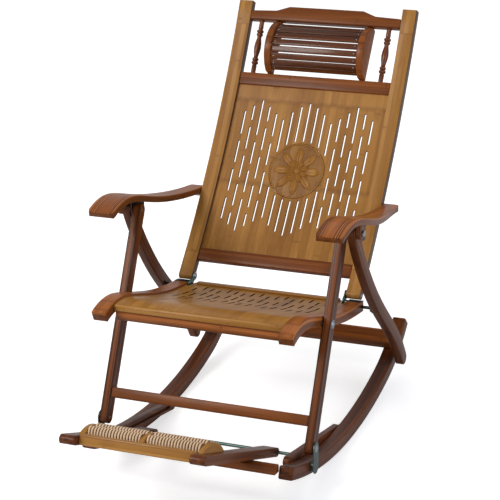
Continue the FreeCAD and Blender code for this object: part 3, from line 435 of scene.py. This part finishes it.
def shadeSlotWalls(piece, way):                # the inner faces of the slots, not the board's own edges, get a dark finish as painted shade
    piece.data.materials.append(finishes["wall"])
    for face in piece.data.polygons:
        aside = abs(face.normal.x) > 0.8
        along = abs(face.normal.dot(Vector(way))) > 0.8
        if (aside or along) and abs(face.center.x) < slots["reach"] and face.area < slots["wall"]:
            face.material_index = 1


def roundCorner(piece):                   # the outer rear corner of an armrest
    alone(piece)
    bpy.ops.object.mode_set(mode="EDIT")
    bpy.ops.mesh.select_mode(type="EDGE")
    bpy.ops.mesh.select_all(action="DESELECT")
    grid = bmesh.from_edit_mesh(piece.data)
    last = max(vertex.co.y for vertex in grid.verts)
    for edge in grid.edges:
        run = edge.verts[1].co - edge.verts[0].co
        middle = (edge.verts[0].co + edge.verts[1].co) / 2
        upright = abs(run.x) < 0.0001 and corner["height"][0] < run.length < corner["height"][1]
        edge.select = upright and middle.y > last - corner["reach"] and abs(middle.x) > corner["aside"]
    bmesh.update_edit_mesh(piece.data)
    bpy.ops.mesh.bevel(offset=corner["radius"], segments=6, affect="EDGES", clamp_overlap=True)
    bpy.ops.object.mode_set(mode="OBJECT")


def roundSlots(piece):                    # the short upright edges at the ends of the slots
    alone(piece)
    for part in (*piece.data.edges, *piece.data.polygons, *piece.data.vertices):
        part.select = False
    bpy.ops.object.mode_set(mode="EDIT")
    bpy.ops.mesh.select_mode(type="EDGE")
    grid = bmesh.from_edit_mesh(piece.data)
    for edge in grid.edges:
        first, second = edge.verts[0].co, edge.verts[1].co
        run, middle = second - first, (first + second) / 2
        upright = abs(run.x) < 0.00001 and abs(run.length - slots["depth"]) < slots["spread"]
        square = edge.is_manifold and abs(edge.calc_face_angle(0.0) - math.pi / 2) < 0.4
        if upright and square and abs(middle.x) < slots["reach"]:
            edge.select = True
    bmesh.update_edit_mesh(piece.data)
    bpy.ops.mesh.bevel(offset=slots["radius"], segments=3, affect="EDGES", clamp_overlap=True)
    bpy.ops.object.mode_set(mode="OBJECT")


softPieces = {
    "rocker_left": ("rockerLeft", 0.004), "rocker_right": ("rockerRight", 0.004),
    "front_leg_left": ("frontLegLeft", 0.003), "front_leg_right": ("frontLegRight", 0.003),
    "rear_leg_left": ("rearLegLeft", 0.003), "rear_leg_right": ("rearLegRight", 0.003),
    "seat_rail_left": ("seatRailLeft", 0.0045), "seat_rail_right": ("seatRailRight", 0.0045),
    "back_stile_left": ("stileLeft", 0.0055), "back_stile_right": ("stileRight", 0.0055),
    "bottom_rail": ("bottomRail", 0.003), "neck_rail": ("neckRail", 0.003), "crest_rail": ("crestRail", 0.0045),
    "headrest_end_left": ("headrestEndLeft", 0.003), "headrest_end_right": ("headrestEndRight", 0.003),
    "headrest_slats": ("headrestSlats", 0.0022), "seat_front_rail": ("seatFrontRail", 0.004),
    "armrest_left": ("armrestLeft", armrest["edge"]), "armrest_right": ("armrestRight", armrest["edge"]),
    "front_stretcher": ("stretcher", 0.003),
    "base_front_crossbar": ("frontCrossbar", 0.003), "base_rear_crossbar": ("rearCrossbar", 0.003),
    "seat_rear_rail": ("seatRearRail", 0.003),
    "footrest_arm_left": ("footArmLeft", 0.003), "footrest_arm_right": ("footArmRight", 0.003),
    "footrest_front_rail": ("footFrontRail", 0.004), "footrest_rear_rail": ("footRearRail", 0.003),
    "roller_end_left": ("rollerEndLeft", 0.002), "roller_end_right": ("rollerEndRight", 0.002),
    "roller_divider": ("rollerDivider", 0.002), "footrest_guide_left": ("guideLeft", 0.002),
    "footrest_guide_right": ("guideRight", 0.002), "foot_plates": ("footPlates", 0.0006),
    "arm_cleats": ("armCleats", 0.002), "seat_panel": ("seatBoard", 0.0007), "back_panel": ("backBoard", 0.0007),
}
for node, (name, edge) in softPieces.items():
    if node in ("seat_panel", "back_panel"):
        board = softened(node, name, edge, 2, flat=0.05, smooth=0.25, slotted=True)
        shadeSlotWalls(board, backWay if node == "back_panel" else level)
    else:
        softened(node, name, edge)
print("softened pieces:", len(softPieces))


# turned pieces, drawn as a profile and spun round
def place(piece, matrix, finish, body, smooth=40.0):
    piece.data.transform(matrix)
    piece.data.materials.clear()
    piece.data.materials.append(finish)
    alone(piece)
    bpy.ops.object.shade_smooth_by_angle(angle=math.radians(smooth))
    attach(piece, body)
    return piece


def turned(name, profile, steps=24):      # pairs of radius and place along Z
    data = bpy.data.meshes.new(name)
    data.from_pydata([(radius, 0.0, along) for radius, along in profile],
                     [(number, number + 1) for number in range(len(profile) - 1)], [])
    piece = bpy.data.objects.new(name, data)
    bpy.context.scene.collection.objects.link(piece)
    alone(piece)
    bpy.ops.object.mode_set(mode="EDIT")
    bpy.ops.mesh.select_all(action="SELECT")
    bpy.ops.mesh.spin(steps=steps, angle=math.tau, center=(0, 0, 0), axis=(0, 0, 1))
    bpy.ops.mesh.select_all(action="SELECT")
    bpy.ops.mesh.remove_doubles(threshold=0.00001)
    bpy.ops.mesh.normals_make_consistent(inside=False)
    bpy.ops.object.mode_set(mode="OBJECT")
    return piece


def another(piece, name):
    made = bpy.data.objects.new(name, piece.data.copy())
    bpy.context.scene.collection.objects.link(made)
    return made


toX = Matrix.Rotation(math.radians(90), 4, "Y")
pitch = roller["length"] / roller["beads"]
profile = [(roller["bore"], 0.0), (roller["valley"], 0.0)]
for bead in range(roller["beads"]):
    for part in range(1, roller["parts"]):
        share = part / roller["parts"]
        swell = math.sin(math.pi * part / roller["parts"]) ** roller["swell"]
        profile.append((roller["valley"] + (roller["radius"] - roller["valley"]) * swell, (bead + share) * pitch))
    profile.append((roller["valley"], (bead + 1) * pitch))
profile.append((roller["bore"], roller["length"]))
model = turned("rollerModel", profile, roller["steps"])
for number in range(1, 7):
    spot = Vector(joints["roller_%d_spin" % number]["pos_m"])
    low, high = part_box("roller_%d" % number)
    piece = another(model, "beadRoller%d" % number)
    place(piece, Matrix.Translation((low.x, spot.y, spot.z)) @ toX, finishes["roller"], "roller_%d" % number,
          smooth=60)
    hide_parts("roller_%d" % number)
bpy.data.objects.remove(model)
print("rollers turned")


def backPoint(up):                        # the middle of the back's thickness, at a height up the back
    turn = math.asin((up - back["length"] / 2) / back["radius"])
    across, along = back["radius"] * math.cos(turn), back["radius"] * math.sin(turn)
    return Vector((0, back["sag"] - back["radius"] + across, back["length"] / 2 + along))


# turned spindles between two heights of the back, with shares of their length and radii in millimetres
spindle = {"low": 0.58, "high": 0.725, "aside": 0.18, "steps": 24,
           "shape": [(0.0, 6.2), (0.14, 6.6), (0.165, 5.2), (0.18, 8.6), (0.2, 9.5), (0.22, 8.4), (0.232, 5.8),
                     (0.245, 8.2), (0.265, 8.8), (0.285, 7.6), (0.3, 5.6), (0.34, 6.2), (0.42, 8.4), (0.5, 9.5),
                     (0.58, 8.4), (0.66, 6.2), (0.7, 5.6), (0.715, 7.6), (0.735, 8.8), (0.755, 8.2), (0.768, 5.8),
                     (0.78, 8.4), (0.8, 9.5), (0.82, 8.6), (0.835, 5.2), (0.86, 6.6), (1.0, 6.2)]}
low, high = backPoint(spindle["low"]), backPoint(spindle["high"])
run = (high - low).length
profile = [(0.0, 0.0)] + [(radius / 1000, share * run) for share, radius in spindle["shape"]] + [(0.0, run)]
model = turned("spindleModel", profile, spindle["steps"])
lean = (high - low).to_track_quat("Z", "Y").to_matrix().to_4x4()
for side, word in sides:
    piece = another(model, "spindle" + word.capitalize())
    place(piece, backPlace @ Matrix.Translation(low + Vector((side * spindle["aside"], 0, 0))) @ lean,
          finishes["spindle"], "backrest", smooth=50)
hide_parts("spindles")
bpy.data.objects.remove(model)

# medallion: a sunk ground with a rim, a boss, beads and two rings of petals, each given as half width, half depth,
# half length and distance from the middle; a petal's tip narrows in steps of height and share
medal = {"up": 0.318, "radius": 0.0768, "front": -0.005, "depth": 0.008, "rim": 0.0045, "sunk": 0.0026,
         "petals": 8, "outer": (0.0115, 0.0042, 0.0235, 0.0435), "inner": (0.0075, 0.0036, 0.0125, 0.021),
         "tip": ((0.35, 0.86), (0.6, 0.8), (0.8, 0.7)), "groove": {"half": 0.12, "front": 0.4, "deep": 0.32},
         "bossShape": [(0.0, -0.0042), (0.003, -0.004), (0.006, -0.0032), (0.0082, -0.0016), (0.0095, 0.0006),
                       (0.0, 0.001)],
         "beadShape": [(0.0, -0.0019), (0.0012, -0.0016), (0.0019, -0.0008), (0.0021, 0.0004), (0.0, 0.0006)],
         "beads": 16, "beadRing": 0.0665, "flat": 0.03, "slant": 0.0012, "innerLip": [(0.0, 0.0004), (0.0006, 0.0)],
         "outerLip": [(-0.0024, 0.0), (-0.0014, 0.0006), (-0.0002, 0.0034)]}


def petal(name, wide, deep, long, away):
    bpy.ops.object.select_all(action="DESELECT")
    bpy.ops.mesh.primitive_uv_sphere_add(segments=20, ring_count=14, radius=1.0, location=(0, 0, 0))
    piece = bpy.context.object
    piece.name = name
    piece.scale = (wide, deep, long)
    bpy.ops.object.transform_apply(location=False, rotation=False, scale=True)
    for reach, share in medal["tip"]:
        pick(piece, lambda spot: spot.z > reach * long)
        bpy.ops.transform.resize(value=(share, 1, 1), center_override=(0, 0, 0))
        bpy.ops.object.mode_set(mode="OBJECT")
    groove = medal["groove"]              # a groove down the middle
    pick(piece, lambda spot: abs(spot.x) < groove["half"] * wide and spot.y < -groove["front"] * deep)
    bpy.ops.transform.translate(value=(0, groove["deep"] * deep, 0))
    bpy.ops.object.mode_set(mode="OBJECT")
    piece.data.transform(Matrix.Translation((0, 0, away)))
    return piece


def pick(piece, wanted):
    alone(piece)
    bpy.ops.object.mode_set(mode="EDIT")
    bpy.ops.mesh.select_mode(type="VERT")
    bpy.ops.mesh.select_all(action="DESELECT")
    grid = bmesh.from_edit_mesh(piece.data)
    for vertex in grid.verts:
        vertex.select = wanted(vertex.co)
    grid.select_flush(True)
    bmesh.update_edit_mesh(piece.data)


outer, front = medal["radius"], medal["front"]
inner, ground, rear = outer - medal["rim"], front + medal["sunk"], front + medal["depth"]
profile = [(0.0, ground), (medal["flat"], ground), (inner - medal["slant"], ground)]
profile += [(inner + out, front + down) for out, down in medal["innerLip"]]
profile += [(outer + out, front + down) for out, down in medal["outerLip"]]
profile += [(outer, rear), (0.0, rear)]
toFront = Matrix.Rotation(math.radians(-90), 4, "X")
disc = turned("rosetteDisc", profile, steps=96)
disc.data.transform(toFront)
parts = [disc]
for ring, (wide, deep, long, away) in enumerate((medal["outer"], medal["inner"])):
    model = petal("petalModel", wide, deep, long, away)
    for number in range(medal["petals"]):
        turn = math.tau * (number + 0.5 * ring) / medal["petals"]
        piece = another(model, "petal%d_%d" % (ring, number))
        piece.data.transform(Matrix.Translation((0, ground, 0)) @ Matrix.Rotation(turn, 4, "Y"))
        parts.append(piece)
    bpy.data.objects.remove(model)
boss = turned("boss", medal["bossShape"], steps=32)
boss.data.transform(Matrix.Translation((0, ground, 0)) @ toFront)
parts.append(boss)
dot = turned("bead", medal["beadShape"], steps=12)
for number in range(medal["beads"]):
    turn = math.tau * number / medal["beads"]
    piece = another(dot, "bead%d" % number)
    spot = (medal["beadRing"] * math.sin(turn), ground, medal["beadRing"] * math.cos(turn))
    piece.data.transform(Matrix.Translation(spot) @ toFront)
    parts.append(piece)
bpy.data.objects.remove(dot)
bpy.ops.object.select_all(action="DESELECT")
for piece in parts:
    piece.select_set(True)
bpy.context.view_layer.objects.active = disc
bpy.ops.object.join()
disc.name = "rosette"
place(disc, backPlace @ Matrix.Translation(backPoint(medal["up"])), finishes["medal"], "backrest",
      smooth=35)
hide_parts("medallion")
print("spindles and rosette made")

# bolt heads with washers, rivets and pins, each a profile of radius and height
washerHeight = 0.0014
head = {"dome": [(0.0, 0.0034), (0.003, 0.0031), (0.0056, 0.0021), (0.0072, 0.0004), (0.0072, 0.0), (0.0, 0.0)],
        "washer": [(0.0, washerHeight), (0.0104, washerHeight), (0.011, 0.0009), (0.011, 0.0), (0.0, 0.0)],
        "slatPin": [(0.0, 0.0009), (0.0012, 0.0007), (0.0019, 0.0), (0.0019, -0.001), (0.0, -0.001)],
        "rivet": [(0.0, 0.0011), (0.0045, 0.001), (0.0078, 0.0006), (0.0088, 0.0), (0.0, 0.0)]}
models = {kind: turned(kind + "Model", profile, steps=20) for kind, profile in head.items()}


def fasten(kind, name, spot, way, body):
    piece = another(models[kind], name)
    turn = Vector(way).to_track_quat("Z", "Y").to_matrix().to_4x4()
    return place(piece, Matrix.Translation(spot) @ turn, finishes["steel"], body)


# name, joint, distance from the chair's middle, side that it faces and body
bolts = [("seatOuter", "seat_fold", 0.279, 1, "front_legs"), ("hingeInner", "backrest_fold", 0.2085, -1, "seat")]
rivetAside = 0.284
for side, word in sides:
    for label, joint, out, way, body in bolts:
        y, z = joints[joint]["pos_m"][1:]
        facing = (side * way, 0, 0)
        fasten("washer", label + word.capitalize() + "Washer", (side * out, y, z), facing, body)
        fasten("dome", label + word.capitalize() + "Head", (side * (out + way * washerHeight), y, z), facing, body)
    y, z = joints["front_leg_fold"]["pos_m"][1:]
    fasten("rivet", "footRivet" + word.capitalize(), (side * rivetAside, y, z), (side, 0, 0), "base")

# the headrest's slats stand on a half ellipse, with a pin in each end
bolster = {"low": 0.58, "high": 0.725, "deep": 0.058, "drop": 0.005, "count": 9, "pin": 0.112,
           "first": 0.12, "last": 0.88}
middle = (bolster["low"] + bolster["high"]) / 2
rise, deep = (bolster["high"] - bolster["low"]) / 2 - bolster["drop"], bolster["deep"] - bolster["drop"]
step = math.pi * (bolster["last"] - bolster["first"]) / (bolster["count"] - 1)
for number in range(bolster["count"]):
    turn = math.pi * bolster["first"] + step * number
    spot = Vector((0, backPoint(middle).y - deep * math.sin(turn), middle - rise * math.cos(turn)))
    ahead = Vector((0, -math.cos(turn) * deep, math.sin(turn) * rise)).normalized()
    outward = backPlace.to_3x3() @ Vector((0, -ahead.z, ahead.y))
    for side, word in sides:
        fasten("slatPin", "slatPin%s%d" % (word.capitalize(), number),
               backPlace @ (spot + Vector((side * bolster["pin"], 0, 0))), outward, "backrest")
for model in models.values():
    bpy.data.objects.remove(model)
print("fasteners placed")


# straight pieces with softened edges, drawn as a side view and extruded across the chair
def extruded(name, outline, first, last, finish, body, edge=0.0024, steps=3):
    data = bpy.data.meshes.new(name)
    data.from_pydata([(first, y, z) for y, z in outline], [], [list(range(len(outline)))])
    piece = bpy.data.objects.new(name, data)
    bpy.context.scene.collection.objects.link(piece)
    alone(piece)
    bpy.ops.object.mode_set(mode="EDIT")
    bpy.ops.mesh.select_all(action="SELECT")
    bpy.ops.mesh.extrude_region_move(TRANSFORM_OT_translate={"value": (last - first, 0, 0)})
    bpy.ops.mesh.select_all(action="SELECT")
    bpy.ops.mesh.normals_make_consistent(inside=False)
    bpy.ops.object.mode_set(mode="OBJECT")
    bevelled(piece, edge, steps)
    return place(piece, Matrix.Identity(4), finishes[finish], body, smooth=32)


# seat board: a nosing along its front edge, a lip along its rear edge, and thin dark sheets at the hinges as painted
# shade in the gaps under the stiles
seatEnd = {"nosing": [(-0.2778, 0.4088), (-0.2722, 0.4094), (-0.2705, 0.4178), (-0.2705, 0.4243), (-0.2745, 0.4245),
                      (-0.2778, 0.4215)], "nosingHalf": 0.2188,
           "lip": [(0.1385, 0.305), (0.1565, 0.3019), (0.1565, 0.3085), (0.139, 0.3114)], "lipHalf": 0.196,
           "gapShade": [(0.1356, 0.3103), (0.1588, 0.3063), (0.159, 0.3073), (0.1359, 0.3118)],
           "gapShadeFrom": 0.2196, "gapShadeTo": 0.2564}
for name, part in (("seatNosing", "nosing"), ("seatRearLip", "lip")):
    extruded(name, seatEnd[part], -seatEnd[part + "Half"], seatEnd[part + "Half"], "crossGold", "seat")
for side, word in sides:
    extruded("hingeGapShade" + word.capitalize(), seatEnd["gapShade"], side * seatEnd["gapShadeFrom"], side * seatEnd["gapShadeTo"],
             "dark", "seat", edge=0.0004, steps=2)
print("seat ends made")

# camera at the photograph's place
camera = {"place": (1.72445, -3.88163, 2.22761), "turn": (67.58957, 2.80945, 22.52452), "lens": 134.69}
lens = bpy.data.cameras.new("camera")
lens.lens = camera["lens"]
lens.sensor_width = 36
eye = bpy.data.objects.new("camera", lens)
eye.location = camera["place"]
eye.rotation_euler = [math.radians(turn) for turn in camera["turn"]]
bpy.context.scene.collection.objects.link(eye)
bpy.context.scene.camera = eye

# light and floor
studio = {"key": 120.0, "fill": 44.0, "rim": 26.0, "sky": 0.42, "mirrored": 0.15, "floorSize": 14, "floorGlow": 0.6}


def lamp(name, place, aim, wide, power, tone, mirrored=True):
    light = bpy.data.lights.new(name, "AREA")
    light.shape = "DISK"
    light.size = wide
    light.energy = power
    light.color = tone
    holder = bpy.data.objects.new(name, light)
    holder.location = place
    holder.rotation_euler = (Vector(aim) - Vector(place)).to_track_quat("-Z", "Y").to_euler()
    holder.visible_glossy = mirrored
    bpy.context.scene.collection.objects.link(holder)


# name, place, aim, width, power and tone
lamp("keyLight", (-2.2, -3.0, 3.6), (0, 0, 0.4), 2.4, studio["key"], (1.0, 0.97, 0.93))
lamp("fillLight", (3.4, -0.6, 1.6), (0, 0, 0.4), 2.6, studio["fill"], (0.82, 0.86, 1.0))
lamp("backLight", (-0.6, 3.0, 2.8), (0, 0, 0.5), 2.0, studio["rim"], (1.0, 1.0, 1.0), mirrored=False)

world = bpy.data.worlds.new("studio")
world.use_nodes = True
bpy.context.scene.world = world
tree = world.node_tree
tree.nodes.clear()
seen = tree.nodes.new("ShaderNodeLightPath")
shown = tree.nodes.new("ShaderNodeMath")      # the eye sees plain white, and what shines sees part of it
shown.operation = "MULTIPLY_ADD"
shown.inputs[1].default_value = studio["mirrored"]
tree.links.new(seen.outputs["Is Glossy Ray"], shown.inputs[0])
tree.links.new(seen.outputs["Is Camera Ray"], shown.inputs[2])
sky = tree.nodes.new("ShaderNodeBackground")
sky.inputs["Color"].default_value = (0.92, 0.95, 1.0, 1.0)
sky.inputs["Strength"].default_value = studio["sky"]
white = tree.nodes.new("ShaderNodeBackground")
white.inputs["Color"].default_value = (1.0, 1.0, 1.0, 1.0)
white.inputs["Strength"].default_value = 1.0
choice = tree.nodes.new("ShaderNodeMixShader")
end = tree.nodes.new("ShaderNodeOutputWorld")
tree.links.new(shown.outputs[0], choice.inputs[0])
tree.links.new(sky.outputs[0], choice.inputs[1])
tree.links.new(white.outputs[0], choice.inputs[2])
tree.links.new(choice.outputs[0], end.inputs["Surface"])

bpy.ops.mesh.primitive_plane_add(size=studio["floorSize"], location=(0, 0, 0))
floor = bpy.context.object
floor.name = "floor"
floorFinish = bpy.data.materials.new("paleFloor")
floorFinish.use_nodes = True
tree = floorFinish.node_tree
tree.nodes.clear()
seen = tree.nodes.new("ShaderNodeLightPath")
matt = tree.nodes.new("ShaderNodeBsdfDiffuse")
matt.inputs["Color"].default_value = (0.8, 0.8, 0.8, 1.0)
glow = tree.nodes.new("ShaderNodeEmission")
glow.inputs["Color"].default_value = (1.0, 1.0, 1.0, 1.0)
gain = tree.nodes.new("ShaderNodeMath")
gain.operation = "MULTIPLY"
gain.inputs[1].default_value = studio["floorGlow"]
tree.links.new(seen.outputs["Is Camera Ray"], gain.inputs[0])
tree.links.new(gain.outputs[0], glow.inputs["Strength"])
both = tree.nodes.new("ShaderNodeAddShader")
end = tree.nodes.new("ShaderNodeOutputMaterial")
tree.links.new(matt.outputs[0], both.inputs[0])
tree.links.new(glow.outputs[0], both.inputs[1])
tree.links.new(both.outputs[0], end.inputs["Surface"])
floor.data.materials.append(floorFinish)

bpy.context.scene.view_settings.view_transform = "Standard"
print("scene ready")
